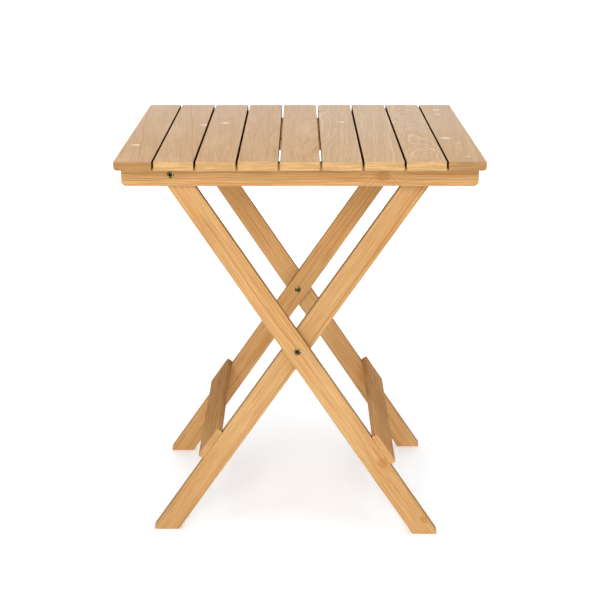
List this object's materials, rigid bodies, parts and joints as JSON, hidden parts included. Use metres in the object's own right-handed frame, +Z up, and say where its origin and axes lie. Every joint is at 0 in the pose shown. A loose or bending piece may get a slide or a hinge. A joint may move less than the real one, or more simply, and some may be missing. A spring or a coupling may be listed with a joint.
{
  "type": "folding garden table",
  "caption": "Folding slatted wooden garden table: a slatted top on two aprons, carried by two crossed leg frames that scissor shut about bolted pivots.",
  "frame": {"origin": "on the floor under the middle of the table top, with the table open", "axes": "+Z up, slats run along Y, the front is -Y, and the hinged side is -X"},
  "size_m": [0.615, 0.63, 0.71],
  "materials": {
    "slat_pine": "planed and clear oiled pine, pale where light falls on it",
    "frame_pine": "planed and clear oiled pine, honey coloured",
    "leg_pine": "planed and clear oiled pine, honey coloured",
    "stretcher_pine": "planed and clear oiled pine with eased edges",
    "dowel_beech": "turned beech",
    "yellow_zinc": "yellow zinc plated steel",
    "zinc_steel": "bright zinc plated steel"
  },
  "bodies": {
    "outer_frame": {"outer_leg_front": "leg_pine", "outer_leg_rear": "leg_pine", "outer_stretcher": "stretcher_pine", "outer_dowel_1": "dowel_beech", "outer_dowel_2": "dowel_beech", "outer_dowel_3": "dowel_beech", "outer_dowel_4": "dowel_beech", "cross_bolt_front": "yellow_zinc", "cross_bolt_rear": "yellow_zinc", "cross_nut_front": "yellow_zinc", "cross_nut_rear": "yellow_zinc", "cross_washer_front": "yellow_zinc", "cross_washer_rear": "yellow_zinc", "hinge_washer_front": "yellow_zinc", "hinge_washer_rear": "yellow_zinc"},
    "inner_frame": {"inner_leg_front": "leg_pine", "inner_leg_rear": "leg_pine", "inner_stretcher": "stretcher_pine", "top_rod": "dowel_beech", "inner_dowel_1": "dowel_beech", "inner_dowel_2": "dowel_beech", "inner_dowel_3": "dowel_beech", "inner_dowel_4": "dowel_beech"},
    "table_top": {"slat_1": "slat_pine", "slat_2": "slat_pine", "slat_3": "slat_pine", "slat_4": "slat_pine", "slat_5": "slat_pine", "slat_6": "slat_pine", "slat_7": "slat_pine", "slat_8": "slat_pine", "slat_9": "slat_pine", "apron_front": "frame_pine", "apron_rear": "frame_pine", "middle_batten": "frame_pine", "stop_block": "frame_pine", "slat_screw_front_1": "zinc_steel", "slat_screw_front_2": "zinc_steel", "slat_screw_front_3": "zinc_steel", "slat_screw_front_4": "zinc_steel", "slat_screw_front_5": "zinc_steel", "slat_screw_front_6": "zinc_steel", "slat_screw_front_7": "zinc_steel", "slat_screw_front_8": "zinc_steel", "slat_screw_front_9": "zinc_steel", "slat_screw_rear_1": "zinc_steel", "slat_screw_rear_2": "zinc_steel", "slat_screw_rear_3": "zinc_steel", "slat_screw_rear_4": "zinc_steel", "slat_screw_rear_5": "zinc_steel", "slat_screw_rear_6": "zinc_steel", "slat_screw_rear_7": "zinc_steel", "slat_screw_rear_8": "zinc_steel", "slat_screw_rear_9": "zinc_steel", "hinge_bolt_front": "yellow_zinc", "hinge_bolt_rear": "yellow_zinc", "hinge_nut_front": "yellow_zinc", "hinge_nut_rear": "yellow_zinc"}
  },
  "joints": [
    {"name": "leg_cross", "type": "hinge", "parent": "outer_frame", "child": "inner_frame", "pos_m": [-0.0045, 0, 0.352], "axis": [0, -1, 0], "range_deg": [0, 68]},
    {"name": "top_hinge", "type": "hinge", "parent": "outer_frame", "child": "table_top", "pos_m": [-0.22, 0, 0.6745], "axis": [0, -1, 0], "range_deg": [0, 51]}
  ],
  "couplings": [
    {"joint": "top_hinge", "follows": "leg_cross", "ratio": 0.75}
  ]
}
